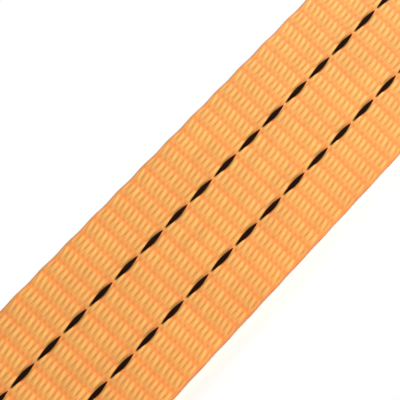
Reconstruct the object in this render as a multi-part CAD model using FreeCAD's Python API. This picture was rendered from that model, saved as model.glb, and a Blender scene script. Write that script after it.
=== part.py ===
"""Endless lifting sling of flat woven webbing, standing on one edge.

One band of webbing runs round a racetrack path: two straight legs along X and a half-round
bight at each end.  Its two ends lap on the +Y leg, where rows of lockstitch join them, and an
identification label is sewn into the lap.  Millimetres, +Z up along the webbing's width, origin
on the floor under the middle of the sling.
"""
import FreeCAD, Part

import math
import os

# ---- driving dimensions ----------------------------------------------------------------------
WEB_WIDTH = 50.0          # flat width of the webbing
WEB_THICK = 2.6           # thickness of the webbing
BIGHT_RADIUS = 38.0       # inside radius of each bight
INNER_GIRTH = 1000.0      # inside circumference: an effective length of half a metre

LAP_LENGTH = 160.0        # overlap of the two cut ends
LAP_GAP = 0.5             # between the lapped layers: the thickness of the label's tape
JOGGLE_LENGTH = 18.0      # length over which the outer layer climbs over the inner cut end
JOGGLE_START = 2.0        # from the inner cut end to where the climb is complete

TRACER_PITCH = 0.3467 * WEB_WIDTH   # between the two tracer yarns of one face
TRACER_WIDTH = 1.3
TRACER_DEPTH = 0.5

STITCH_PITCH = 5.0        # length of one lockstitch
STITCH_GAP = 0.7          # dip between two stitches, where the thread goes through
THREAD_WIDTH = 0.9
THREAD_HEIGHT = 0.5       # how far a stitch stands off the face
THREAD_BASE = 0.12        # thread left at the bottom of each dip
ROW_COUNT = 6             # lengthwise rows of stitching in the lap, clear of the tracer yarns
ROW_SPACING = 7.2
ROW_END_INSET = 8.0       # from a cut end to the first stitch of a row
TACK_INSET = 5.0          # from a cut end to its cross row
TACK_STITCHES = 9
TACK_PITCH = 4.4

LABEL_WIDTH = 40.0        # across the webbing
LABEL_ROOT = 24.0         # length of label sewn into the lap
LABEL_STUB = 4.0          # root that shows outside the lap, up to the fold
LABEL_FLAP = 88.0         # free length of label
LABEL_CORNER = 5.0
FOLD_CLEARANCE = 0.3      # between the root and the flap at the fold
FLAP_LIFT = 0.5           # air between the resting flap and the leg
PANEL_THICK = 0.3
PANEL_MARGIN = 4.0
PANEL_LENGTH = 66.0
PANEL_THREAD_HEIGHT = 0.25
PANEL_THREAD_WIDTH = 0.6
PANEL_THREAD_INSET = 1.5

# ---- places worked out from them ---------------------------------------------------------------
HALF_STRAIGHT = (INNER_GIRTH - 2 * math.pi * BIGHT_RADIUS) / 4
MID_RADIUS = BIGHT_RADIUS + WEB_THICK / 2
HALF_THICK = WEB_THICK / 2
HALF_LAP = LAP_LENGTH / 2
LAP_STEP = WEB_THICK + LAP_GAP
LAP_OUTSIDE = BIGHT_RADIUS + WEB_THICK + LAP_STEP
# the whole sling moves along Y so that its outline is centred on the origin
Y_SHIFT = (MID_RADIUS + HALF_THICK - LAP_OUTSIDE - THREAD_HEIGHT) / 2
FRONT_Y = Y_SHIFT - MID_RADIUS
BACK_Y = Y_SHIFT + MID_RADIUS
LAP_Y = BACK_Y + LAP_STEP
MID_Z = WEB_WIDTH / 2
JOGGLE_END_X = HALF_LAP + JOGGLE_START
JOGGLE_START_X = JOGGLE_END_X + JOGGLE_LENGTH

UP = FreeCAD.Vector(0, 0, 1)


def point(x, y, z=0.0):
    return FreeCAD.Vector(x, y, z)


# ---- the band's path ---------------------------------------------------------------------------
# A stretch of path is a straight or an arc.  Both give their edge at an offset from the middle of
# the webbing, positive towards the outside of the loop.
def straight(x0, x1, y, outward):
    """Straight along X at height y; outward is +1 on the +Y leg and -1 on the -Y leg."""
    def edge_ends(offset):
        place = y + outward * offset
        return point(x0, place), None, point(x1, place)
    return edge_ends


def arc(cx, cy, radius, start_deg, end_deg, outward):
    """Arc about (cx, cy); outward is +1 where the centre is inside the loop, else -1."""
    def edge_ends(offset):
        r = radius + outward * offset
        spots = []
        for degrees in (start_deg, (start_deg + end_deg) / 2, end_deg):
            angle = math.radians(degrees)
            spots.append(point(cx + r * math.cos(angle), cy + r * math.sin(angle)))
        return tuple(spots)
    return edge_ends


JOGGLE_ANGLE = 2 * math.degrees(math.atan(LAP_STEP / JOGGLE_LENGTH))
JOGGLE_RADIUS = JOGGLE_LENGTH / 2 / math.sin(math.radians(JOGGLE_ANGLE))

PATH = {
    "lap_inner_layer": [straight(HALF_LAP, -HALF_LAP, BACK_Y, 1)],
    "back_leg_left": [straight(-HALF_LAP, -HALF_STRAIGHT, BACK_Y, 1)],
    "left_bight": [arc(-HALF_STRAIGHT, Y_SHIFT, MID_RADIUS, 90, 270, 1)],
    "front_leg": [straight(-HALF_STRAIGHT, HALF_STRAIGHT, FRONT_Y, -1)],
    "right_bight": [arc(HALF_STRAIGHT, Y_SHIFT, MID_RADIUS, -90, 90, 1)],
    "back_leg_right": [
        straight(HALF_STRAIGHT, JOGGLE_START_X, BACK_Y, 1),
        arc(JOGGLE_START_X, BACK_Y + JOGGLE_RADIUS, JOGGLE_RADIUS, -90, -90 - JOGGLE_ANGLE, -1),
        arc(JOGGLE_END_X, LAP_Y - JOGGLE_RADIUS, JOGGLE_RADIUS, 90 - JOGGLE_ANGLE, 90, 1),
    ],
    "lap_outer_layer": [straight(JOGGLE_END_X, -HALF_LAP, LAP_Y, 1)],
}


def edge_between(start, middle, end):
    if middle is None:
        return Part.LineSegment(start, end).toShape()
    return Part.Arc(start, middle, end).toShape()


def strip(stretches, low_offset, high_offset, z_low, z_high):
    """Solid that follows the stretches, between two offsets and two heights."""
    lows = [stretch(low_offset) for stretch in stretches]
    highs = [stretch(high_offset) for stretch in stretches]
    edges = [edge_between(*ends) for ends in lows]
    edges.append(edge_between(lows[-1][2], None, highs[-1][2]))
    for start, middle, end in reversed(highs):
        edges.append(edge_between(end, middle, start))
    edges.append(edge_between(highs[0][0], None, lows[0][0]))
    face = Part.Face(Part.Wire(edges))
    face.translate(UP * z_low)
    return face.extrude(UP * (z_high - z_low))


# ---- webbing and its tracer yarns --------------------------------------------------------------
TRACER_HEIGHTS = {"lower": MID_Z - TRACER_PITCH / 2, "upper": MID_Z + TRACER_PITCH / 2}
TRACER_OFFSETS = {"outer": (HALF_THICK - TRACER_DEPTH, HALF_THICK),
                  "inner": (-HALF_THICK, TRACER_DEPTH - HALF_THICK)}


def tracer(stretches, face_name, height_name):
    """Tracer yarn lying flush in one face of the webbing."""
    low_offset, high_offset = TRACER_OFFSETS[face_name]
    z = TRACER_HEIGHTS[height_name]
    return strip(stretches, low_offset, high_offset, z - TRACER_WIDTH / 2, z + TRACER_WIDTH / 2)


def webbing(stretches):
    """One stretch of the band, with a groove for each tracer yarn."""
    body = strip(stretches, -HALF_THICK, HALF_THICK, 0, WEB_WIDTH)
    for face_name in TRACER_OFFSETS:
        for height_name in TRACER_HEIGHTS:
            body = body.cut(tracer(stretches, face_name, height_name))
    return body


# ---- stitching ---------------------------------------------------------------------------------
def stitch_outline(length, pitch, count, height):
    """Face seen from the side: stitches in a line along X, standing on y = 0, centred on x = 0."""
    start = -length / 2
    edges = [edge_between(point(start, THREAD_BASE), None, point(start, 0)),
             edge_between(point(start, 0), None, point(-start, 0)),
             edge_between(point(-start, 0), None, point(-start, THREAD_BASE))]
    here = point(-start, THREAD_BASE)
    for index in reversed(range(count)):
        middle = start + (index + 0.5) * pitch
        rise = middle + (pitch - STITCH_GAP) / 2
        fall = middle - (pitch - STITCH_GAP) / 2
        edges.append(edge_between(here, None, point(rise, THREAD_BASE)))
        edges.append(edge_between(point(rise, THREAD_BASE), point(middle, height),
                                  point(fall, THREAD_BASE)))
        here = point(fall, THREAD_BASE)
    edges.append(edge_between(here, None, point(start, THREAD_BASE)))
    return Part.Face(Part.Wire(edges))


def stitch_row(count, pitch, height, thread_width):
    """Thread of one row: along X, on the plane y = 0, standing off towards +Y."""
    face = stitch_outline(count * pitch, pitch, count, height)
    face.translate(UP * (-thread_width / 2))
    return face.extrude(UP * thread_width)


def placed(shape, x, y, z, outward, upright=False):
    """Copy of a stitch row on a face that looks along outward Y, turned upright if asked."""
    row = shape.copy()
    if outward < 0:
        row.rotate(point(0, 0), UP, 180)
    if upright:
        row.rotate(point(0, 0), point(0, 1), 90)
    row.translate(point(x, y, z))
    return row


# ---- label -------------------------------------------------------------------------------------
def rounded_plate(x_left, x_right, y_low, y_high, width, corner):
    """Plate in the XZ plane about mid height, with both corners at its left end rounded."""
    low = MID_Z - width / 2
    high = MID_Z + width / 2
    cut = corner * (1 - math.sqrt(0.5))
    lower_arc = (point(x_left + corner, y_low, low), point(x_left + cut, y_low, low + cut),
                 point(x_left, y_low, low + corner))
    upper_arc = (point(x_left, y_low, high - corner), point(x_left + cut, y_low, high - cut),
                 point(x_left + corner, y_low, high))
    edges = [edge_between(*lower_arc),
             edge_between(lower_arc[2], None, upper_arc[0]),
             edge_between(*upper_arc),
             edge_between(upper_arc[2], None, point(x_right, y_low, high)),
             edge_between(point(x_right, y_low, high), None, point(x_right, y_low, low)),
             edge_between(point(x_right, y_low, low), None, lower_arc[0])]
    return Part.Face(Part.Wire(edges)).extrude(point(0, y_high - y_low))


def build():
    """All nodes by name."""
    nodes = {name: webbing(stretches) for name, stretches in PATH.items()}
    whole_path = [stretch for stretches in PATH.values() for stretch in stretches]
    for face_name in TRACER_OFFSETS:
        for height_name in TRACER_HEIGHTS:
            nodes[f"tracer_{face_name}_{height_name}"] = tracer(whole_path, face_name, height_name)

    outside = LAP_Y + HALF_THICK
    inside = BACK_Y - HALF_THICK
    row_stitches = int((LAP_LENGTH - 2 * ROW_END_INSET) / STITCH_PITCH)
    row = stitch_row(row_stitches, STITCH_PITCH, THREAD_HEIGHT, THREAD_WIDTH)
    for index in range(ROW_COUNT):
        z = MID_Z + (index - (ROW_COUNT - 1) / 2) * ROW_SPACING
        nodes[f"needle_thread_row_{index + 1}"] = placed(row, 0, outside, z, 1)
        nodes[f"bobbin_thread_row_{index + 1}"] = placed(row, 0, inside, z, -1)

    tack = stitch_row(TACK_STITCHES, TACK_PITCH, THREAD_HEIGHT, THREAD_WIDTH)
    tack_x = HALF_LAP - TACK_INSET
    for side, x in (("left", -tack_x), ("right", tack_x)):
        nodes[f"cross_row_{side}_needle"] = placed(tack, x, outside, MID_Z, 1, upright=True)
        nodes[f"cross_row_{side}_bobbin"] = placed(tack, x, inside, MID_Z, -1, upright=True)

    leg_face = BACK_Y + HALF_THICK
    fold_x = -HALF_LAP - LABEL_STUB
    root = Part.makeBox(LABEL_ROOT + LABEL_STUB, LAP_GAP, LABEL_WIDTH,
                        point(fold_x, leg_face, MID_Z - LABEL_WIDTH / 2))
    nodes["label_root"] = root

    flap_low = leg_face + FLAP_LIFT
    flap_high = flap_low + LAP_GAP
    flap_right = fold_x - FOLD_CLEARANCE
    nodes["label_flap"] = rounded_plate(flap_right - LABEL_FLAP, flap_right, flap_low, flap_high,
                                        LABEL_WIDTH, LABEL_CORNER)
    panel_left = flap_right - LABEL_FLAP + PANEL_MARGIN
    panel_right = panel_left + PANEL_LENGTH
    panel_high = flap_high + PANEL_THICK
    panel_width = LABEL_WIDTH - 2 * PANEL_MARGIN
    nodes["label_print_panel"] = rounded_plate(panel_left, panel_right, flap_high, panel_high,
                                               panel_width, LABEL_CORNER / 2)
    seam_inset = PANEL_THREAD_INSET
    seam = rounded_plate(panel_left + seam_inset, panel_right - seam_inset, panel_high,
                         panel_high + PANEL_THREAD_HEIGHT, panel_width - 2 * seam_inset,
                         LABEL_CORNER / 2)
    seam_inset += PANEL_THREAD_WIDTH
    inner = rounded_plate(panel_left + seam_inset, panel_right - seam_inset, panel_high,
                          panel_high + PANEL_THREAD_HEIGHT, panel_width - 2 * seam_inset,
                          LABEL_CORNER / 2)
    nodes["label_panel_stitching"] = seam.cut(inner)
    return nodes


os.makedirs("parts", exist_ok=True)
for name, shape in build().items():
    shape.exportStep(f"parts/{name}.step")
    print(f"{name:26s} {shape.Volume:10.1f} mm3 {len(shape.Solids)} solid(s) valid {shape.isValid()}")
print(f"outline centre y {Y_SHIFT + (LAP_OUTSIDE + THREAD_HEIGHT - MID_RADIUS - HALF_THICK) / 2:.4f}")
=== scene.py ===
import math

import bpy
import numpy as np
from mathutils import Matrix, Vector


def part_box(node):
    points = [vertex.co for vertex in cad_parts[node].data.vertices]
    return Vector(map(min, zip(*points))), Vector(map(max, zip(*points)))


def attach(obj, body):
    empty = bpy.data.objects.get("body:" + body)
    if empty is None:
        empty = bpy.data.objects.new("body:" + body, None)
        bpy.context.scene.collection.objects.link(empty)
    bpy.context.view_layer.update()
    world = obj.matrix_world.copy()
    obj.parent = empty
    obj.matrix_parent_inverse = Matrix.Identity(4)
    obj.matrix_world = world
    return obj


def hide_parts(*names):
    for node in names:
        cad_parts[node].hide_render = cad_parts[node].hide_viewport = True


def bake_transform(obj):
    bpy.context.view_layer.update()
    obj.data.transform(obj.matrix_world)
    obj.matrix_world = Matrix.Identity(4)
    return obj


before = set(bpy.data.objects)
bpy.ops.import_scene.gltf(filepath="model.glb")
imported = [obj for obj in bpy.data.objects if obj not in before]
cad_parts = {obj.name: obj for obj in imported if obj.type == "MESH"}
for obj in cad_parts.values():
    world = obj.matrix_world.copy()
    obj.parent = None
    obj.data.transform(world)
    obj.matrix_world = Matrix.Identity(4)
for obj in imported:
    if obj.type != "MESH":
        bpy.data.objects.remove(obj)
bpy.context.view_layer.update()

# ---- Webbing band ------------------------------------------------------------------------------
# One strip of heavy narrow-loom webbing in high-tenacity polyester, dyed orange.  It runs round two
# straight legs and two bights, and its heat-sealed ends lap on the +Y leg.  Warp floats show on
# both faces in two staggered columns for each repeat of the weave.
MM = 0.001

front_low, front_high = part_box("front_leg")
inner_low, inner_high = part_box("lap_inner_layer")
outer_low, outer_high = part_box("lap_outer_layer")
WEB_WIDTH = front_high.z - front_low.z
WEB_THICK = front_high.y - front_low.y
FRONT_Y = (front_low.y + front_high.y) / 2
BACK_Y = (inner_low.y + inner_high.y) / 2
LAP_Y = (outer_low.y + outer_high.y) / 2
HALF_STRAIGHT = front_high.x
MID_Z = WEB_WIDTH / 2
BIGHT = (BACK_Y - FRONT_Y) / 2
JOGGLE = 18 * MM          # length over which the outer layer climbs onto the inner one

WEAVE_REPEAT = 10.0 * MM  # length of one repeat: a column of A floats, then a column of B floats
TRACER_Z = 0.17333 * WEB_WIDTH      # from the middle of the width to each tracer yarn
TRACER_END = 5                      # a tracer yarn is the fifth warp end from the middle
END_PITCH = TRACER_Z / TRACER_END   # between neighbouring floats, inside the tracer yarns
OUTER_END_PITCH = 1.66 * MM         # and outside them
LAST_END = 14.5                     # where the floats stop and the selvedge begins, in ends
FLOAT_DEPTH = 0.5 * MM              # from a float's crest to the ground between floats
DASH_AT_X = 2.37 * MM               # a tracer dash is centred here on the -Y leg


def band_stretches():
    """Lengths and curvatures of the band's stretches in order, from the inner cut end.

    The joggle onto the inner layer is two equal arcs, one each way.  Each turns by twice the angle
    whose tangent is the climb over the joggle's length.
    """
    climb = LAP_Y - BACK_Y
    turn = 2 * math.atan(climb / JOGGLE)
    joggle_radius = JOGGLE / 2 / math.sin(turn)
    return [(inner_high.x + HALF_STRAIGHT, 0), (math.pi * BIGHT, 1 / BIGHT),
            (2 * HALF_STRAIGHT, 0), (math.pi * BIGHT, 1 / BIGHT),
            (HALF_STRAIGHT - outer_high.x - JOGGLE, 0),
            (joggle_radius * turn, -1 / joggle_radius), (joggle_radius * turn, 1 / joggle_radius),
            (outer_high.x - outer_low.x, 0)]


STRETCHES = band_stretches()
BREAKS = np.concatenate([[0], np.cumsum([length for length, _ in STRETCHES])])
BAND_LENGTH = BREAKS[-1]
FRONT_START = BREAKS[2]


def start_places():
    """Start point and heading of each stretch, found from the stretch before it by on_band's
    formula."""
    x, y, heading = inner_high.x, BACK_Y, math.pi
    places = []
    for length, bend in STRETCHES:
        places.append((x, y, heading))
        after = heading + bend * length
        x += length * math.cos(heading) if bend == 0 else (math.sin(after) - math.sin(heading)) / bend
        y += length * math.sin(heading) if bend == 0 else (math.cos(heading) - math.cos(after)) / bend
        heading = after
    return np.array(places)


PLACES = start_places()
BENDS = np.array([bend for _, bend in STRETCHES])


def on_band(along, offset, z):
    """Points on the band: middle line at arc length along, moved outward by offset, at height z.

    Inside a stretch of curvature k that starts with heading h, the middle line is at
    ((sin(h + k s) - sin h) / k, (cos h - cos(h + k s)) / k), or straight on where k is zero.
    """
    piece = np.clip(np.searchsorted(BREAKS, along, side="right") - 1, 0, len(BENDS) - 1)
    s = along - BREAKS[piece]
    x0, y0, h = PLACES[piece].transpose(2, 0, 1) if along.ndim == 2 else PLACES[piece].T
    bend = BENDS[piece]
    safe = np.where(bend == 0, 1, bend)
    now = h + bend * s
    x = x0 + np.where(bend == 0, s * np.cos(h), (np.sin(now) - np.sin(h)) / safe)
    y = y0 + np.where(bend == 0, s * np.sin(h), (np.cos(h) - np.cos(now)) / safe)
    return np.stack([x + offset * np.sin(now), y - offset * np.cos(now), z + 0 * x], axis=-1)


def ends_across(z):
    """Position across the width, counted in warp ends from the middle: the distance over the
    pitch, which changes at the tracer yarns."""
    away = np.abs(z - MID_Z)
    outside = TRACER_END + (away - TRACER_Z) / OUTER_END_PITCH
    ends = np.where(away < TRACER_Z, away / END_PITCH, outside)
    return np.sign(z - MID_Z) * ends


def height_of_end(ends):
    """Inverse of ends_across: height above the lower selvedge."""
    count = np.abs(ends)
    outside = TRACER_Z + (count - TRACER_END) * OUTER_END_PITCH
    away = np.where(count < TRACER_END, count * END_PITCH, outside)
    return MID_Z + np.sign(ends) * away


def repeats_at(along):
    """Number of weave repeats passed; the tracer yarns dive at whole ones and crest at halves."""
    return (along - FRONT_START - HALF_STRAIGHT - DASH_AT_X) / WEAVE_REPEAT + 0.5


def ease(x, start, stop):
    """0 before start, 1 after stop, and between them three times the square less twice the cube."""
    t = np.clip((x - start) / (stop - start), 0, 1)
    return t * t * (3 - 2 * t)


A_MIDDLE = 0.135        # middle of the A floats, in repeats
B_MIDDLE = 0.62         # middle of the B floats
FLOAT_HALF = 0.242      # half a float's length, in repeats
FLOAT_LEAN = 0.10       # one side of a float lies this much further along, in repeats
END_ROUND = 0.26        # share by which a float is shorter along its two sides than at its middle
CREVICE_SLANT = 0.45    # a crevice drifts this many ends across in one repeat along
RIDGE_SLANT = 0.5       # and the ridge between two crevices this many more
CALM_BESIDE_TRACER = 1.2    # ends over which the slant dies out beside a tracer yarn
WEFT_SLANT = 0.016      # drift of the columns along the band, per unit of height
PARABOLA = 0.6          # share of a float's profile that is a parabola; the rest is a cosine
UNEVEN_RIDGE = 0.12     # how far chance moves a ridge, in ends
UNEVEN_HEIGHT = 0.16    # and how far it changes a float's height, as a share
DIP = 0.4               # relief of the dips between columns: 0 is a crevice, 1 is a crest
BESIDE_TRACER = 1.15    # A floats beside a tracer yarn stand higher by this factor
SELVEDGE_RELIEF = 0.62  # relief of the selvedge, where the weft turns back
WEFT_TURN = 0.1         # how far each turn of the weft changes it
WEFT_TURNS = 2          # turns of the weft in one repeat
SELVEDGE = (14.15, 14.6)    # in ends: the floats fade into the selvedge between these
CREVICE_SHADE_FALL = 1.3      # the higher, the narrower the painted shade in the crevices
CHANCE_MIX = (12.9898, 78.233, 37.719)      # for a float's column, its end and its face
CHANCE_MULTIPLE = 43758.5453


def floats_of(repeats, ends, side):
    """One column's floats: how far they stand out, their profile across, and each one's own chance
    value from 0 to 1.

    Standing out is a parabola along the float, whose ends are round.  Across it the profile falls
    from the ridge to the crevices on both sides, partly as 1 less the square of the distance and
    partly as a cosine.  Crevices run slantwise, except beside a tracer yarn, and the ridge between
    them more so.  The chance value is what is left of a large multiple of a sine once its whole part
    is gone.  It moves the ridge a little and makes the float fuller or thinner.
    """
    number = np.floor(repeats + 0.5)
    along = repeats - number
    from_tracer = (np.abs(ends) - TRACER_END) / CALM_BESIDE_TRACER
    slanted = ends - side * CREVICE_SLANT * along * (1 - np.exp(-from_tracer ** 2))
    end = np.floor(slanted + 0.5)
    across = slanted - end
    angle = number * CHANCE_MIX[0] + end * CHANCE_MIX[1] + side * CHANCE_MIX[2]
    chance = np.sin(angle) * CHANCE_MULTIPLE % 1
    ridge = side * RIDGE_SLANT * along + UNEVEN_RIDGE * (chance - 0.5)
    reach = 0.5 - np.sign(across - ridge) * ridge
    away = np.abs((across - ridge) / reach)
    profile = PARABOLA * (1 - away ** 2) + (1 - PARABOLA) / 2 * (1 + np.cos(np.pi * away))
    profile *= 1 + UNEVEN_HEIGHT * (chance - 0.5)
    half = FLOAT_HALF * (1 - END_ROUND * (2 * across) ** 2)
    stand = 1 - ((along - side * FLOAT_LEAN * across) / half) ** 2
    return np.clip(stand, 0, 1), profile, chance


def float_relief(along, z, side):
    """Height of the warp floats, 0 at the bottom of a groove and 1 on a crest, and a table of how far
    the float there stands out, which also sets its painted light, of the share of painted shade in
    its crevices, and of that float's chance value.

    A floats sit at half ends and B floats at whole ends, and the higher of the two shows.  The
    tracer yarns take the place of two B floats.  The height is the dip's, plus the float's profile
    over the dip times how far it stands out.  The inner face is half a repeat from the outer one.
    """
    repeats = repeats_at(along) + WEFT_SLANT * (z - MID_Z) / WEAVE_REPEAT + (0 if side > 0 else 0.5)
    ends = ends_across(z)
    stand_a, profile_a, chance_a = floats_of(repeats - A_MIDDLE, ends - 0.5, side)
    stand_b, profile_b, chance_b = floats_of(repeats - B_MIDDLE, ends, side)
    from_tracer = np.abs(np.abs(ends) - TRACER_END)
    profile_b = np.where(from_tracer < 0.5, 0, profile_b)
    profile_a = np.where(from_tracer < 1, BESIDE_TRACER * profile_a, profile_a)
    a_is_up = stand_a >= stand_b
    stand = np.where(a_is_up, stand_a, stand_b)
    profile = np.where(a_is_up, profile_a, profile_b)
    relief = DIP + stand * (profile - DIP)
    selvedge = ease(np.abs(ends), *SELVEDGE)
    weft_turns = SELVEDGE_RELIEF + WEFT_TURN * np.cos(WEFT_TURNS * 2 * np.pi * repeats)
    relief = relief * (1 - selvedge) + weft_turns * selvedge
    # painted shade: share of darker colour in the crevices between floats, most at their bottoms
    crevice_shade = np.sqrt(stand) * np.clip(1 - profile, 0, 1) ** CREVICE_SHADE_FALL
    # stand also mixes the floats' painted light into the colour
    return relief, {"stand": stand * (1 - selvedge), "crevice_shade": crevice_shade * (1 - selvedge),
                    "chance": np.where(a_is_up, chance_a, chance_b)}


def middle_of(node):
    """Middle of a CAD node's box."""
    low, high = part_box(node)
    return (low + high) / 2


ROW_Z = [middle_of(f"needle_thread_row_{row}").z for row in range(1, 7)]
LAP_INSIDE = (0, inner_high.x - inner_low.x)                  # stretches of the band in the lap
LAP_OUTSIDE = (BAND_LENGTH - (outer_high.x - outer_low.x), BAND_LENGTH)
ROW_STARTS = (5 * MM, 8 * MM)       # from an end of the lap: the rows begin to pull, and pull fully
PULL_HALF_WIDE = 0.75 * MM
PULL_DEPTH = 0.28 * MM


def sewn_in(along, z, side):
    """How deep the rows of stitching pull the lap's visible faces in, from 0 to 1: a bell curve
    across each row."""
    start, stop = LAP_OUTSIDE if side > 0 else LAP_INSIDE
    inside = ease(np.minimum(along - start, stop - along), *ROW_STARTS)
    return inside * sum(np.exp(-((z - row) / PULL_HALF_WIDE) ** 2) for row in ROW_Z)


SEALED = (0.6 * MM, 2.4 * MM)       # from a cut end: melted flat up to here, and woven from here on
EDGE_ROUND = 1.25 * MM              # from the selvedge to where a face is flat
EDGE_CALM = (0.5 * MM, 0.1 * MM)    # from the selvedge: the weave's depth fades out between these
RIM = (0.6 * MM, 0.1 * MM)          # and the rim's painted shade fades in between these
SCALLOP = 0.0075                    # share by which the weft pulls the band in, once in each repeat
SCALLOP_LEAD = 0.14                 # lead of the upper selvedge's scallops, in repeats
THINNEST = 1e-9                     # keeps the two faces apart where they meet


def band_surface(along, z, side):
    """Point of the band's skin, and its weave as a table.

    The skin is the face's plane, rounded at the selvedges by a quarter ellipse, less the depth of
    the weave and the pull of the stitching.  The selvedges are scalloped by a cosine, and the weave
    is melted flat at the cut ends.
    """
    relief, weave = float_relief(along, z, side)
    sealed = 1 - ease(np.minimum(along, BAND_LENGTH - along), *SEALED)
    relief = relief * (1 - sealed) + DIP * sealed
    away = np.abs(z - MID_Z)
    edge = np.clip((away - MID_Z) / EDGE_ROUND + 1, 0, 1)
    skin = WEB_THICK / 2 * np.sqrt(np.maximum(1 - edge ** 2, THINNEST))
    fade = 1 - ease(away, MID_Z - EDGE_CALM[0], MID_Z - EDGE_CALM[1])
    depth = FLOAT_DEPTH * (1 - relief) + PULL_DEPTH * sewn_in(along, z, side)
    scallop = np.cos(2 * np.pi * (repeats_at(along) + SCALLOP_LEAD * (z > MID_Z)))
    narrow = 1 - SCALLOP * (1 - scallop) / 2
    offset = side * (skin - depth * fade)
    # share of the rim's painted shade, a darker and greyer colour along each selvedge
    rim = ease(away, MID_Z - RIM[0], MID_Z - RIM[1])
    weave.update(sealed=sealed, rim=rim, ends=ends_across(z), along=along)
    return on_band(along, offset, MID_Z + (z - MID_Z) * narrow), weave


SELVEDGE_LINES = 6       # grid lines round each selvedge


def heights_across(per_end):
    """Heights of the grid lines across one face, per_end of them for each warp end, and closer
    together round the selvedges, by a sine."""
    floats = height_of_end(np.linspace(-LAST_END, LAST_END, int(2 * LAST_END * per_end) + 1))
    turn = np.sin(np.linspace(0, np.pi / 2, SELVEDGE_LINES + 1)[1:])
    upper = floats[-1] + (WEB_WIDTH - floats[-1]) * turn
    return np.concatenate([WEB_WIDTH - upper[::-1], floats, upper])


def tube_mesh(name, rings, normals, attributes):
    """Closed mesh through rings of points (stations, around, xyz), capped at both ends.

    Each quad joins two neighbours on one ring to the same two on the next.  Corner normals come
    from the surface itself, so two pieces that meet end to end share them.
    """
    stations, around = rings.shape[:2]
    index = np.arange(stations * around).reshape(stations, around)
    here, there = index[:-1], index[1:]
    quads = np.stack([here, there, np.roll(there, -1, 1), np.roll(here, -1, 1)], axis=-1)
    quads = quads.reshape(-1, 4)
    caps = [index[0].tolist(), index[-1, ::-1].tolist()]
    mesh = bpy.data.meshes.new(name)
    mesh.from_pydata(rings.reshape(-1, 3), [], quads.tolist() + caps)
    mesh.polygons.foreach_set("use_smooth", np.ones(len(mesh.polygons), bool))
    tangents = [rings[0].mean(0) - rings[1].mean(0), rings[-1].mean(0) - rings[-2].mean(0)]
    corner = np.concatenate([normals.reshape(-1, 3)[quads.ravel()],
                             np.repeat([t / np.linalg.norm(t) for t in tangents], around, axis=0)])
    for key, values in attributes.items():
        mesh.attributes.new(key, "FLOAT", "POINT").data.foreach_set("value", values.ravel())
    mesh.normals_split_custom_set(corner)
    mesh.validate()
    piece = bpy.data.objects.new(name, mesh)
    bpy.context.scene.collection.objects.link(piece)
    return piece


def ring_normals(points):
    """Unit normals of a tube of rings: the cross product of central differences along and around
    it.  The first and last rings are only there for the differences, and get none."""
    forward = points[2:] - points[:-2]
    sideways = (np.roll(points, -1, 1) - np.roll(points, 1, 1))[1:-1]
    normal = np.cross(forward, sideways)
    return normal / np.linalg.norm(normal, axis=-1, keepdims=True)


def band_piece(name, start, stop, per_repeat, outer_per_end, inner_per_end):
    """Stretch of the band from one arc length to another, with its own fineness: rings of the outer
    face's points and then the inner face's, one station beyond each end for the normals."""
    count = max(2, round((stop - start) / WEAVE_REPEAT * per_repeat)) + 1
    step = (stop - start) / (count - 1)
    stations = start + step * np.arange(-1, count + 1)
    outside = heights_across(outer_per_end)
    inside = heights_across(inner_per_end)[-2:0:-1]
    grids = []
    for heights, side in ((outside, 1), (inside, -1)):
        along, z = np.meshgrid(stations, heights, indexing="ij")
        held = np.clip(along, 0, BAND_LENGTH)
        points, weave = band_surface(held, z, side)
        points += on_band(along, 0, z) - on_band(held, 0, z)
        grids.append((points, weave))
    points = np.concatenate([points for points, _ in grids], axis=1)
    weave = {key: np.concatenate([weave[key] for _, weave in grids], axis=1)[1:-1]
             for key in grids[0][1]}
    return tube_mesh(name, points[1:-1], ring_normals(points), weave)


def linear(hex_colour):
    """Linear RGBA of an sRGB hex colour."""
    values = [int(hex_colour[place:place + 2], 16) / 255 for place in (1, 3, 5)]
    return [v / 12.92 if v <= 0.04045 else ((v + 0.055) / 1.055) ** 2.4 for v in values] + [1]


def add(tree, kind, inputs=(), **settings):
    """Adds a node, gives it its settings, and fills each named or numbered input with a value or
    with another node's output."""
    made = tree.nodes.new(kind)
    for key, value in settings.items():
        setattr(made, key, value)
    for key, value in dict(inputs).items():
        if isinstance(value, bpy.types.NodeSocket):
            tree.links.new(value, made.inputs[key])
        else:
            made.inputs[key].default_value = value
    return made


def new_material(name):
    """Empty material with a Principled shader, ready for its nodes."""
    material = bpy.data.materials.new(name)
    material.use_nodes = True
    tree = material.node_tree
    tree.nodes.clear()
    shader = add(tree, "ShaderNodeBsdfPrincipled")
    add(tree, "ShaderNodeOutputMaterial", {0: shader.outputs[0]})
    return material, tree, shader


# one orange in two copies: the first, between the floats, is painted darker as painted shade in the
# dips between columns; the second, on the floats, is painted paler as painted light
GROUND_PAINTED_SHADE = "#E98B3E"
FLOAT = "#ECAD5B"
# painted shade for the crevices between floats
CREVICE_PAINTED_SHADE = "#C4853A"
# painted shade along each selvedge: a darker, greyer rim
RIM_PAINTED_SHADE = "#B48B5F"
MELTED = "#B4601F"
RIM_SHADE_SHARE = 0.85                 # share of the painted shade colour at the rim
YARN_SHADE = (0.94, 1.06)       # darkest and palest yarn
FILAMENT_SHADE = (0.93, 1.07)   # darkest and palest filament
FILAMENT_RUN = 2 * MM           # length over which one filament stays on top
FILAMENTS = 9                   # drawn across one warp end; real ones are some ten times finer


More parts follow.
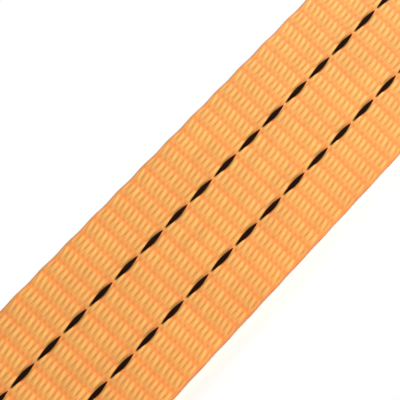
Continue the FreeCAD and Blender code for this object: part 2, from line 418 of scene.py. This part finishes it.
def dyed_polyester_webbing():
    """Bright multifilament polyester webbing, woven from dyed yarn.  The floats are painted paler the
    further they stand out, as painted light, and the dips between columns and the crevices between
    floats darker, as painted shade; single yarns differ a little in shade.  A rim along each selvedge
    is painted darker and greyer, as painted shade, and the cut ends, sealed with a hot knife, are
    browner.

    A colour Mix takes its factor at input 0 and its two colours at 6 and 7, and gives output 2.
    """
    material, tree, shader = new_material("dyed_polyester_webbing")
    stand, crevice_shade, rim, sealed, chance, along, ends = (
        add(tree, "ShaderNodeAttribute", attribute_name=name).outputs["Fac"]
        for name in ("stand", "crevice_shade", "rim", "sealed", "chance", "along", "ends"))
    # painted light and shade: the further a float stands out, the more of the paler float colour; the
    # dips between columns keep the darker ground colour
    body = add(tree, "ShaderNodeMix", {0: stand, 6: linear(GROUND_PAINTED_SHADE), 7: linear(FLOAT)},
               data_type="RGBA").outputs[2]
    # painted shade: the crevices between floats are darkened
    body = add(tree, "ShaderNodeMix", {0: crevice_shade, 6: body, 7: linear(CREVICE_PAINTED_SHADE)},
               data_type="RGBA").outputs[2]
    # painted shade: a darker, greyer rim along each selvedge
    rim_shade = add(tree, "ShaderNodeMath", {0: rim, 1: RIM_SHADE_SHARE}, operation="MULTIPLY").outputs[0]
    body = add(tree, "ShaderNodeMix", {0: rim_shade, 6: body, 7: linear(RIM_PAINTED_SHADE)},
               data_type="RGBA").outputs[2]

    # filaments lie along the float
    place = add(tree, "ShaderNodeCombineXYZ", {"X": along, "Y": ends}).outputs[0]
    strands = {"Vector": place, "Scale": (1 / FILAMENT_RUN, FILAMENTS, 1)}
    strands = add(tree, "ShaderNodeMapping", strands).outputs[0]
    fibre = add(tree, "ShaderNodeTexNoise", {"Vector": strands, "Scale": 1, "Detail": 3})
    fibre = fibre.outputs["Fac"]
    dark, pale = FILAMENT_SHADE
    strand = add(tree, "ShaderNodeMapRange", {"Value": fibre, "From Min": 0.3, "From Max": 0.7,
                                              "To Min": dark, "To Max": pale}).outputs[0]
    dark, pale = YARN_SHADE
    shade = add(tree, "ShaderNodeMapRange", {"Value": chance, "To Min": dark, "To Max": pale})
    shade = add(tree, "ShaderNodeMath", {0: shade.outputs[0], 1: strand}, operation="MULTIPLY")
    colour = add(tree, "ShaderNodeVectorMath", {0: body, 1: shade.outputs[0]}, operation="MULTIPLY")
    melted = add(tree, "ShaderNodeMix", {0: sealed, 6: colour.outputs[0], 7: linear(MELTED)},
                 data_type="RGBA").outputs[2]
    tree.links.new(melted, shader.inputs["Base Color"])
    bump = add(tree, "ShaderNodeBump", {"Height": fibre, "Strength": 0.35, "Distance": 0.06 * MM})
    tree.links.new(bump.outputs[0], shader.inputs["Normal"])
    shader.inputs["Roughness"].default_value = 0.5
    shader.inputs["Specular IOR Level"].default_value = 0.45
    shader.inputs["Sheen Weight"].default_value = 0.15
    shader.inputs["Sheen Roughness"].default_value = 0.4
    return material


WEBBING = dyed_polyester_webbing()
FINE_MIDDLE = FRONT_START + HALF_STRAIGHT + 4 * MM      # where the two finest pieces meet
FINE_START = FINE_MIDDLE - 8.5 * WEAVE_REPEAT
FINE_STOP = FINE_MIDDLE + 8.5 * WEAVE_REPEAT
FINE = (28, 8, 4)      # stations to a repeat, and lines to an end on the outer and inner face
PLAIN = (12, 6, 6)
BAND_PIECES = [
    ("lap_inner_webbing", "lap_inner_layer", 0, LAP_INSIDE[1], PLAIN),
    ("back_left_webbing", "back_leg_left", LAP_INSIDE[1], BREAKS[1], PLAIN),
    ("left_bight_webbing", "left_bight", BREAKS[1], BREAKS[2], PLAIN),
    ("front_left_webbing", "front_leg", BREAKS[2], FINE_START, PLAIN),
    ("front_near_webbing", "front_leg", FINE_START, FINE_MIDDLE, FINE),
    ("front_far_webbing", "front_leg", FINE_MIDDLE, FINE_STOP, FINE),
    ("front_right_webbing", "front_leg", FINE_STOP, BREAKS[3], PLAIN),
    ("right_bight_webbing", "right_bight", BREAKS[3], BREAKS[4], PLAIN),
    ("back_right_webbing", "back_leg_right", BREAKS[4], BREAKS[7], PLAIN),
    ("lap_outer_webbing", "lap_outer_layer", BREAKS[7], BREAKS[8], PLAIN),
]
for name, node, start, stop, fineness in BAND_PIECES:
    piece = band_piece(name, start, stop, *fineness)
    piece.data.materials.append(WEBBING)
    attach(piece, "sling")
    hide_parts(node)

# ---- Tracer yarns ------------------------------------------------------------------------------
# Four black polyester yarns woven in as warp ends, two on each face.  Each floats over nine tenths
# of a repeat and then dives under a pick, so it shows as a line of pointed dashes.
DASH_MIDDLE = 0.5           # middle of a dash, in repeats
DASH_SHARE = 0.45           # from there to a dash's tip, in repeats
DIVE = (0.38, 0.48)         # the dive starts and ends at these distances from the middle, in repeats
DIVE_DEPTH = 0.65 * MM
DIVE_HALF_WIDE = 0.05 * MM  # half the yarn's width in the dive
DASH_HALF_WIDE = 0.66 * MM  # and what a dash's middle adds to it
DIVE_HALF_HIGH = 0.12 * MM  # half its height in the dive
DASH_HALF_HIGH = 0.14 * MM  # and what a dash's middle adds to it
TRACER_SUNK = 0.05 * MM     # from the webbing's face down to the middle of the yarn
TRACER_SIDES = 12
TRACER_STATIONS = 20        # rings to a repeat
TRACER_INSET = 0.4 * MM     # from the band's cut ends


def tracer_rings(along, around, z, side):
    """Flattened yarn: an ellipse that swells with the cosine of the distance from a dash's middle,
    and whose middle dives below the face past the tip."""
    away = np.abs((repeats_at(along) - DASH_MIDDLE + 0.5) % 1 - 0.5)
    swell = np.clip(np.cos(np.pi / 2 * away / DASH_SHARE), 0, 1)
    half_wide = DIVE_HALF_WIDE + DASH_HALF_WIDE * swell
    half_high = DIVE_HALF_HIGH + DASH_HALF_HIGH * swell
    middle = WEB_THICK / 2 - TRACER_SUNK - DIVE_DEPTH * ease(away, *DIVE)
    offset = side * middle + half_high * np.sin(around)
    return on_band(along, offset, z - half_wide * np.cos(around))


def straight_ended_tube(name, rings, attributes):
    """Closed tube through rings, with the normals that it would have if it went straight on past
    its two ends: one ring is added beyond each, as far on as the last step."""
    before = 2 * rings[:1] - rings[1:2]
    beyond = 2 * rings[-1:] - rings[-2:-1]
    normals = ring_normals(np.concatenate([before, rings, beyond]))
    return tube_mesh(name, rings, normals, attributes)


FIBRE_RUNS = 7      # lengths of fibre in one repeat along the yarn
FIBRES_ROUND = 6    # fibres drawn in one radian round it; real ones are several times finer


def black_tracer_yarn():
    """Black polyester yarn, dyed in the melt and close twisted: dull, with a brown cast."""
    material, tree, shader = new_material("black_tracer_yarn")
    along, around = (add(tree, "ShaderNodeAttribute", attribute_name=name).outputs["Fac"]
                     for name in ("along", "around"))
    place = add(tree, "ShaderNodeCombineXYZ", {"X": along, "Y": around}).outputs[0]
    strands = {"Vector": place, "Scale": (FIBRE_RUNS / WEAVE_REPEAT, FIBRES_ROUND, 1)}
    strands = add(tree, "ShaderNodeMapping", strands).outputs[0]
    fibre = add(tree, "ShaderNodeTexNoise", {"Vector": strands, "Scale": 1, "Detail": 2})
    fibre = fibre.outputs["Fac"]
    colour = add(tree, "ShaderNodeMix", {0: fibre, 6: linear("#150702"), 7: linear("#211007")},
                 data_type="RGBA").outputs[2]
    tree.links.new(colour, shader.inputs["Base Color"])
    bump = add(tree, "ShaderNodeBump", {"Height": fibre, "Strength": 0.4, "Distance": 0.05 * MM})
    tree.links.new(bump.outputs[0], shader.inputs["Normal"])
    shader.inputs["Roughness"].default_value = 0.75
    shader.inputs["Specular IOR Level"].default_value = 0.03
    return material


TRACER = black_tracer_yarn()
stations = np.linspace(TRACER_INSET, BAND_LENGTH - TRACER_INSET,
                       int(BAND_LENGTH / WEAVE_REPEAT * TRACER_STATIONS))
angles = np.linspace(0, 2 * np.pi, TRACER_SIDES, endpoint=False)
along, around = np.meshgrid(stations, angles, indexing="ij")
for face_name, side in (("outer", 1), ("inner", -1)):
    for height_name, z in (("lower", MID_Z - TRACER_Z), ("upper", MID_Z + TRACER_Z)):
        piece = straight_ended_tube(f"tracer_yarn_{face_name}_{height_name}",
                                    tracer_rings(along, around, z, side),
                                    {"along": along, "around": around})
        piece.data.materials.append(TRACER)
        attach(piece, "sling")
        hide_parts(f"tracer_{face_name}_{height_name}")

# ---- Lap stitching ------------------------------------------------------------------------------
# Six lengthwise rows and two cross rows of lockstitch in thick bonded polyester thread hold the two
# layers of the lap together.  Needle threads lie on the outer face and bobbin threads on the inner
# one; both dive into the webbing at every needle hole.
THREAD_HALF_WIDE = 0.42 * MM
THREAD_HALF_HIGH = 0.30 * MM
THREAD_CREST = 0.12 * MM       # height of the thread's middle over the webbing's face
HOLE_DEPTH = 1.1 * MM
HOLE_REACH = 0.55 * MM         # how far from a hole the thread starts to dive
HOLE_PINCH = 0.4               # share of its width that the thread loses in a hole
PLIES = 3
PLY_LAY = 2.4 * MM             # length of one turn of the plies
THREAD_SIDES = 8
LAP_STATIONS = 10              # rings to a stitch


def stitch_rings(line, travel, stitch, around, outward, half_wide, half_high, depth, reach):
    """Thread over a line of points (stations, xyz): an ellipse that sinks and narrows at each hole,
    by a bell curve of the distance to the hole.  Holes are one stitch apart."""
    away = np.abs((travel / stitch + 0.5) % 1 - 0.5) * stitch
    dive = np.exp(-(away / reach) ** 2)[:, None, None]
    forward = np.gradient(line, axis=0)
    forward /= np.linalg.norm(forward, axis=-1, keepdims=True)
    sideways = np.cross(outward, forward)[:, None]
    wide = half_wide * (1 - HOLE_PINCH * dive) * -np.cos(around)[None, :, None]
    high = half_high * np.sin(around)[None, :, None] - depth * dive
    return line[:, None] + sideways * wide + outward[:, None] * high


def thread_piece(name, line, travel, stitch, outward, sizes):
    """Closed mesh of one run of thread.  Its twist is the number of plies times the sum of the turn
    of their lay and the angle round the thread."""
    angles = np.linspace(0, 2 * np.pi, THREAD_SIDES, endpoint=False)
    rings = stitch_rings(line, travel, stitch, angles, outward, *sizes)
    twist = PLIES * (2 * np.pi * travel[:, None] / PLY_LAY + angles[None])
    return straight_ended_tube(name, rings, {"twist": twist})


def bonded_polyester_thread(name, dark, pale):
    """Three-ply filament thread with a bonding coat: smooth, with a soft shine and slanting plies,
    each broader than the groove beside it.  Each ply is painted paler on its crest and darker towards
    the groove, as painted light and shade."""
    material, tree, shader = new_material(name)
    twist = add(tree, "ShaderNodeAttribute", attribute_name="twist").outputs["Fac"]
    ply = add(tree, "ShaderNodeMath", {0: twist}, operation="SINE").outputs[0]
    height = add(tree, "ShaderNodeMapRange", {"Value": ply, "From Min": -1, "From Max": 0.6})
    height = height.outputs[0]
    # painted light and shade: dark in the groove between plies, pale on a ply's crest
    colour = add(tree, "ShaderNodeMix", {0: height, 6: linear(dark), 7: linear(pale)},
                 data_type="RGBA").outputs[2]
    tree.links.new(colour, shader.inputs["Base Color"])
    bump = add(tree, "ShaderNodeBump", {"Height": height, "Strength": 0.8, "Distance": 0.12 * MM})
    tree.links.new(bump.outputs[0], shader.inputs["Normal"])
    shader.inputs["Roughness"].default_value = 0.42
    shader.inputs["Specular IOR Level"].default_value = 0.4
    return material


BLACK_THREAD = bonded_polyester_thread("black_bonded_thread", "#070606", "#1D1A19")
LAP_THREAD = (THREAD_HALF_WIDE, THREAD_HALF_HIGH, HOLE_DEPTH, HOLE_REACH)
ROW_STITCH = 5.0 * MM
CROSS_STITCH = 4.4 * MM
OUTER_FACE = LAP_Y + WEB_THICK / 2
INNER_FACE = BACK_Y - WEB_THICK / 2
for thread_kind, face, way in (("needle", OUTER_FACE, 1), ("bobbin", INNER_FACE, -1)):
    crest = face + way * THREAD_CREST
    runs = []
    for row, z in enumerate(ROW_Z, 1):
        node = f"{thread_kind}_thread_row_{row}"
        low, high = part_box(node)
        runs.append((node, (low.x, crest, z), (high.x, crest, z), ROW_STITCH))
    for side_name in ("left", "right"):
        node = f"cross_row_{side_name}_{thread_kind}"
        low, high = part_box(node)
        x = middle_of(node).x
        runs.append((node, (x, crest, low.z), (x, crest, high.z), CROSS_STITCH))
    for node, first, last, stitch in runs:
        span = np.subtract(last, first)
        length = np.linalg.norm(span)
        stitch_count = round(length / stitch)
        travel = np.linspace(0, length, stitch_count * LAP_STATIONS + 1)
        line = np.array(first) + travel[:, None] / length * span
        outward = np.tile([0.0, way, 0.0], (len(travel), 1))
        piece = thread_piece(node + "_stitches", line, travel, length / stitch_count, outward,
                             LAP_THREAD)
        piece.data.materials.append(BLACK_THREAD)
        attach(piece, "sling")
        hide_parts(node)

# ---- Label tape ---------------------------------------------------------------------------------
# One length of blue woven polyester tape.  Its root is sewn in between the layers of the lap and
# the rest is a free flap, which lies along the webbing with a slight curl and folds at its root.
root_low, root_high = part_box("label_root")
flap_low, flap_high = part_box("label_flap")
TAPE_THICK = root_high.y - root_low.y
TAPE_HALF = (flap_high.z - flap_low.z) / 2
ROOT_Y = (root_low.y + root_high.y) / 2
FLAP_Y = (flap_low.y + flap_high.y) / 2
FLAP_LENGTH = flap_high.x - flap_low.x
TAPE_CORNER = 5 * MM
TAPE_EDGE = 0.8 * MM        # depth of the woven edge's round
TAPE_STATIONS = 112
CORNER_STATIONS = 9
CORNER_START = 0.15         # angle of the first of them, past the end of the straight edge
STEP_OUT = (0.5 * MM, 5 * MM)   # from the lap's edge: the tape leaves the root's level, and is out
CURL = 1.8 * MM             # how far the free end stands off
CURL_LEAN = 0.45            # how much further its top corner does, as a share
RIPPLE = 0.3 * MM
RIPPLE_WAVES = 1.5          # in the flap's length


def tape_level(x, z):
    """Middle of the tape's thickness: the root's level, a smooth step to the flap's, then a curl
    that grows with the square of the distance from the fold, more at the top corner, and a cosine
    ripple that grows with the distance."""
    step = ease(outer_low.x - x, *STEP_OUT)
    out = np.clip((flap_high.x - x) / FLAP_LENGTH, 0, 1)
    curl = CURL * out ** 2 * (1 + CURL_LEAN * (z - MID_Z) / TAPE_HALF)
    ripple = RIPPLE * out * (1 - np.cos(RIPPLE_WAVES * 2 * np.pi * out))
    return ROOT_Y + (FLAP_Y - ROOT_Y) * step + curl + ripple


def outward_of_tape(x, z):
    """Unit normals of the tape's outer face, from central differences of its level."""
    step = 0.1 * MM
    slope_x = (tape_level(x + step, z) - tape_level(x - step, z)) / (2 * step)
    slope_z = (tape_level(x, z + step) - tape_level(x, z - step)) / (2 * step)
    normal = np.stack([-slope_x, np.ones_like(x), -slope_z], axis=-1)
    return normal / np.linalg.norm(normal, axis=-1, keepdims=True)


PATCH_LINES = 25        # grid lines across each face of a strip
EDGE_LEFT = 0.5         # share of its thickness that a strip keeps at its very edge


def patch_rings(x, reach, level_low, level_high, edge):
    """Rings round a strip of cloth on the tape, one for each x: up its outer face and down its
    inner one; reach is the half width there.

    Each long edge is rounded over the depth edge, by the part of an ellipse that takes the
    thickness down to EDGE_LEFT.
    """
    there = np.linspace(-1, 1, PATCH_LINES)
    across = np.concatenate([there, there[::-1]])
    face = np.repeat([1, -1], PATCH_LINES)
    grid_x, across = np.meshgrid(x, across, indexing="ij")
    z = MID_Z + reach[:, None] * across
    inset = np.clip((np.abs(across) - 1) * reach[:, None] / edge + 1, 0, 1)
    half = (level_high - level_low) / 2 * np.sqrt(1 - (1 - EDGE_LEFT ** 2) * inset ** 2)
    level = (level_low + level_high) / 2 + face * half
    points = np.stack([grid_x, tape_level(grid_x, z), z], axis=-1)
    return points + outward_of_tape(grid_x, z) * level[..., None], grid_x, z


def cloth_patch(name, x, reach, level_low, level_high, edge):
    """Closed mesh of a strip of cloth on the tape, with its own x and z as attributes."""
    rings, grid_x, z = patch_rings(x, reach, level_low, level_high, edge)
    return straight_ended_tube(name, rings, {"lengthwise": grid_x, "upward": z})


RIB_PITCH = 1 * MM              # half of it in real tape, where the ribs are too fine to show
PICKS = 1.1 / MM                # changes of shade in a length of tape, about one to each rib
PICK_STREAKS = 0.09 / MM        # and along one pick


def woven_polyester_tape():
    """Plain ribbed tape of dyed polyester: ribs across it, and a little shade from pick to pick."""
    material, tree, shader = new_material("blue_woven_tape")
    lengthwise, upward = (add(tree, "ShaderNodeAttribute", attribute_name=name).outputs["Fac"]
                          for name in ("lengthwise", "upward"))
    ribs = add(tree, "ShaderNodeMath", {0: lengthwise, 1: 2 * math.pi / RIB_PITCH},
               operation="MULTIPLY")
    ribs = add(tree, "ShaderNodeMath", {0: ribs.outputs[0]}, operation="SINE").outputs[0]
    place = add(tree, "ShaderNodeCombineXYZ", {"X": lengthwise, "Y": upward}).outputs[0]
    picks = add(tree, "ShaderNodeMapping", {"Vector": place, "Scale": (PICKS, PICK_STREAKS, 1)})
    shade = add(tree, "ShaderNodeTexNoise", {"Vector": picks.outputs[0], "Scale": 1, "Detail": 2})
    shade = shade.outputs["Fac"]
    colour = add(tree, "ShaderNodeMix", {0: shade, 6: linear("#173F86"), 7: linear("#2E68BE")},
                 data_type="RGBA").outputs[2]
    tree.links.new(colour, shader.inputs["Base Color"])
    height = add(tree, "ShaderNodeMath", {0: ribs, 1: shade}, operation="ADD").outputs[0]
    bump = add(tree, "ShaderNodeBump", {"Height": height, "Strength": 0.6, "Distance": 0.12 * MM})
    tree.links.new(bump.outputs[0], shader.inputs["Normal"])
    shader.inputs["Roughness"].default_value = 0.6
    shader.inputs["Specular IOR Level"].default_value = 0.35
    shader.inputs["Sheen Weight"].default_value = 0.2
    return material


corner_starts = flap_low.x + TAPE_CORNER
turned = np.sin(np.linspace(CORNER_START, np.pi / 2, CORNER_STATIONS))
tape_x = np.concatenate([np.linspace(root_high.x, corner_starts, TAPE_STATIONS),
                         corner_starts - TAPE_CORNER * turned])
past_corner = np.clip((corner_starts - tape_x) / TAPE_CORNER, 0, 1)
tape_reach = TAPE_HALF - TAPE_CORNER * (1 - np.sqrt(1 - past_corner ** 2))
tape = cloth_patch("label_tape", tape_x, tape_reach, -TAPE_THICK / 2, TAPE_THICK / 2, TAPE_EDGE)
tape.data.materials.append(woven_polyester_tape())
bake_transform(tape)
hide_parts("label_root", "label_flap")

# ---- Label print panel ---------------------------------------------------------------------------
# White coated satin, cut to a rectangle and sewn on the tape.  It is printed with a plain blank
# form: a coloured head and ruled lines to write between.
CM = 10 * MM
panel_low, panel_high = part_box("label_print_panel")
PANEL_THICK = panel_high.y - panel_low.y
PANEL_HALF = (panel_high.z - panel_low.z) / 2
PANEL_EDGE = 0.3 * MM       # depth of the cut edge's round
PANEL_SUNK = 0.02 * MM      # how deep the panel's back lies in the tape's ribs
PANEL_STATIONS = 67
HEAD_WIDTH = 12 * MM
FORM_INSET = 3 * MM         # from the panel's edges to the form
FIELD_LENGTH = 30 * MM
RULE_PITCH = 5.2 * MM
RULE_WIDTH = 0.28 * MM
SATIN_FLOAT = 2.5 * MM      # length of a float of the satin, and
SATIN_PITCH = 0.4 * MM      # the space between two: some four times the real ones, to show at all


def coated_satin_print():
    """White polyester satin with a smooth coat; the printed head is pale blue, and the rules of the
    form are thin and dark.  The form is worked out in centimetres from its corner."""
    material, tree, shader = new_material("white_coated_satin")
    lengthwise, upward = (add(tree, "ShaderNodeAttribute", attribute_name=name).outputs["Fac"]
                          for name in ("lengthwise", "upward"))
    place = add(tree, "ShaderNodeCombineXYZ", {"X": lengthwise, "Y": upward}).outputs[0]
    corner = (-(panel_low.x + FORM_INSET) / CM, -(panel_low.z + FORM_INSET) / CM, 0)
    form = add(tree, "ShaderNodeMapping",
               {"Vector": place, "Location": corner, "Scale": (1 / CM, 1 / CM, 1)}).outputs[0]
    rules = add(tree, "ShaderNodeTexBrick",
                {"Vector": form, "Scale": 1, "Color1": linear("#F1F0EA"),
                 "Color2": linear("#ECEBE6"), "Mortar": linear("#3A3A3C"),
                 "Mortar Size": RULE_WIDTH / CM, "Mortar Smooth": 0.1,
                 "Brick Width": FIELD_LENGTH / CM, "Row Height": RULE_PITCH / CM},
                offset=0.0).outputs[0]
    head = add(tree, "ShaderNodeMath", {0: lengthwise, 1: panel_high.x - HEAD_WIDTH},
               operation="GREATER_THAN").outputs[0]
    printed = add(tree, "ShaderNodeMix", {0: head, 6: rules, 7: linear("#AFC3DE")},
                  data_type="RGBA").outputs[2]
    tree.links.new(printed, shader.inputs["Base Color"])
    grain = {"Vector": place, "Scale": (1 / SATIN_FLOAT, 1 / SATIN_PITCH, 1)}
    grain = add(tree, "ShaderNodeMapping", grain).outputs[0]
    grain = add(tree, "ShaderNodeTexNoise", {"Vector": grain, "Scale": 1, "Detail": 2})
    bump = add(tree, "ShaderNodeBump", {"Height": grain.outputs["Fac"], "Strength": 0.25,
                                        "Distance": 0.05 * MM})
    tree.links.new(bump.outputs[0], shader.inputs["Normal"])
    shader.inputs["Roughness"].default_value = 0.38
    shader.inputs["Coat Weight"].default_value = 0.15
    return material


panel_x = np.linspace(panel_high.x, panel_low.x, PANEL_STATIONS)
panel = cloth_patch("label_panel", panel_x, np.full(PANEL_STATIONS, PANEL_HALF),
                    TAPE_THICK / 2 - PANEL_SUNK, TAPE_THICK / 2 + PANEL_THICK, PANEL_EDGE)
panel.data.materials.append(coated_satin_print())
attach(panel, "label")
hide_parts("label_print_panel")

# ---- Label panel stitching -----------------------------------------------------------------------
# One round of lockstitch in thin white bonded polyester thread, just inside the panel's edge.  It
# sews the panel to the tape, and dives through both at every needle hole.
SEAM_INSET = 1.5 * MM
SEAM_CORNER = 1.2 * MM
SEAM_STITCH = 3 * MM
SEAM_CREST = 0.04 * MM      # height of the thread's middle over the panel
SEAM_STATIONS = 8           # rings to a stitch
SEAM_THREAD = (0.28 * MM, 0.16 * MM, 0.5 * MM, 0.35 * MM)      # half wide, half high, dive, reach


def seam_round(travel, half_x, half_z, corner):
    """Points of a rectangle with round corners, by the length travelled round it from the middle
    of its upper side.  The heading turns by a quarter at each corner, evenly along its arc, and the
    points are the running sums of the steps' cosines and sines."""
    arc = math.pi / 2 * corner
    heading = np.full_like(travel, math.pi)
    passed = half_x - corner
    for straight in (half_z, half_x, half_z, half_x):
        heading += np.pi / 2 * np.clip((travel - passed) / arc, 0, 1)
        passed += arc + 2 * (straight - corner)
    step = np.diff(travel, prepend=0)
    return np.cumsum(step * np.cos(heading)), half_z + np.cumsum(step * np.sin(heading))


half_x = (panel_high.x - panel_low.x) / 2 - SEAM_INSET
half_z = PANEL_HALF - SEAM_INSET
# a round corner is a quarter circle, in place of two lengths of its radius
seam_length = 4 * (half_x + half_z) + 4 * (math.pi / 2 - 2) * SEAM_CORNER
seam_stitches = round(seam_length / SEAM_STITCH)
travel = np.linspace(0, seam_length, seam_stitches * SEAM_STATIONS + 1)
seam_x, seam_z = seam_round(travel, half_x, half_z, SEAM_CORNER)
seam_x += (panel_low.x + panel_high.x) / 2
seam_z += MID_Z
outward = outward_of_tape(seam_x, seam_z)
line = np.stack([seam_x, tape_level(seam_x, seam_z), seam_z], axis=-1)
line += outward * (TAPE_THICK / 2 + PANEL_THICK + SEAM_CREST)
seam = thread_piece("label_panel_seam", line, travel, seam_length / seam_stitches, outward,
                    SEAM_THREAD)
seam.data.materials.append(bonded_polyester_thread("white_label_thread", "#C9C7C0", "#F2F1EC"))
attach(seam, "label")
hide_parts("label_panel_stitching")

# ---- Floor, light and camera -------------------------------------------------------------------
# Plain white studio: a seamless white floor that glows a little, faint even light all round, a soft
# sun that rakes along the front leg from the +X end and shows its weave, and a softer one behind.  A
# small softbox with a grid stands off the +X end and lights the webbing most near that end.
FLOOR_SIZE = 40
FLOOR_GLOW = 0.30
STUDIO_FILL = 0.1
SUNS = [("raking_light", 2.75, 15, (0.82, -0.42, 0.38)),      # strength, degrees across, from where
        ("back_light", 1.6, 40, (-0.4, 0.75, 0.5))]
SOFTBOX_SIZE = 0.12
SOFTBOX_POWER = 0.255
SOFTBOX_GRID = math.radians(60)
SOFTBOX_PLACE = (0.47, -0.27, 0.22)
SOFTBOX_FROM = (0.47, -0.23, 0.20)

# matt white acrylic sheet: no shine, and its own glow keeps the shadows pale
bpy.ops.mesh.primitive_plane_add(size=FLOOR_SIZE)
floor = bpy.context.object
floor.name = "floor"
floor_material, _, floor_shader = new_material("white_acrylic_floor")
floor_shader.inputs["Base Color"].default_value = linear("#F3F3F3")
floor_shader.inputs["Roughness"].default_value = 0.9
floor_shader.inputs["Emission Color"].default_value = (1, 1, 1, 1)
floor_shader.inputs["Emission Strength"].default_value = FLOOR_GLOW
floor.data.materials.append(floor_material)

# the studio's walls look white, but light the sling only as STUDIO_FILL
world = bpy.data.worlds.new("studio_white")
world.use_nodes = True
sky = world.node_tree
seen = add(sky, "ShaderNodeLightPath").outputs["Is Camera Ray"]
level = add(sky, "ShaderNodeMapRange", {"Value": seen, "To Min": STUDIO_FILL, "To Max": 1})
sky.links.new(level.outputs[0], sky.nodes["Background"].inputs["Strength"])
sky.nodes["Background"].inputs["Color"].default_value = (1, 1, 1, 1)
bpy.context.scene.world = world


def light_from(name, kind, power, direction):
    """Light of one kind and power that shines from a direction towards the sling."""
    light = bpy.data.objects.new(name, bpy.data.lights.new(name, kind))
    light.data.energy = power
    light.rotation_euler = Vector(direction).to_track_quat("Z", "Y").to_euler()
    bpy.context.scene.collection.objects.link(light)
    return light


for sun_name, strength, across, direction in SUNS:
    sun = light_from(sun_name, "SUN", strength, direction)
    sun.data.angle = math.radians(across)
softbox = light_from("side_lamp", "AREA", SOFTBOX_POWER, SOFTBOX_FROM)
softbox.data.size = SOFTBOX_SIZE
softbox.data.spread = SOFTBOX_GRID
softbox.location = SOFTBOX_PLACE
softbox.visible_camera = False

# the camera stands level with the front leg, a little towards -X, and leans so that the webbing
# runs slantwise through its view
CAMERA_YAW = math.radians(13.94)
CAMERA_ROLL = math.radians(46.09)
CAMERA_DISTANCE = 0.3853
TARGET = Vector((0, front_low.y, MID_Z + 7.04 * MM))      # on the front leg's outer face
camera_data = bpy.data.cameras.new("camera")
camera_data.lens = 126
camera_data.sensor_width = 36
camera_data.clip_start = 0.02
camera = bpy.data.objects.new("camera", camera_data)
bpy.context.scene.collection.objects.link(camera)
look = Vector((math.sin(CAMERA_YAW), math.cos(CAMERA_YAW), 0))
level_right = Vector((math.cos(CAMERA_YAW), -math.sin(CAMERA_YAW), 0))
camera_up = math.cos(CAMERA_ROLL) * Vector((0, 0, 1)) + math.sin(CAMERA_ROLL) * level_right
camera_right = look.cross(camera_up)
camera_turn = Matrix((camera_right, camera_up, -look)).transposed().to_4x4()
camera.matrix_world = Matrix.Translation(TARGET - CAMERA_DISTANCE * look) @ camera_turn
bpy.context.scene.camera = camera
bpy.context.scene.view_settings.view_transform = "Standard"
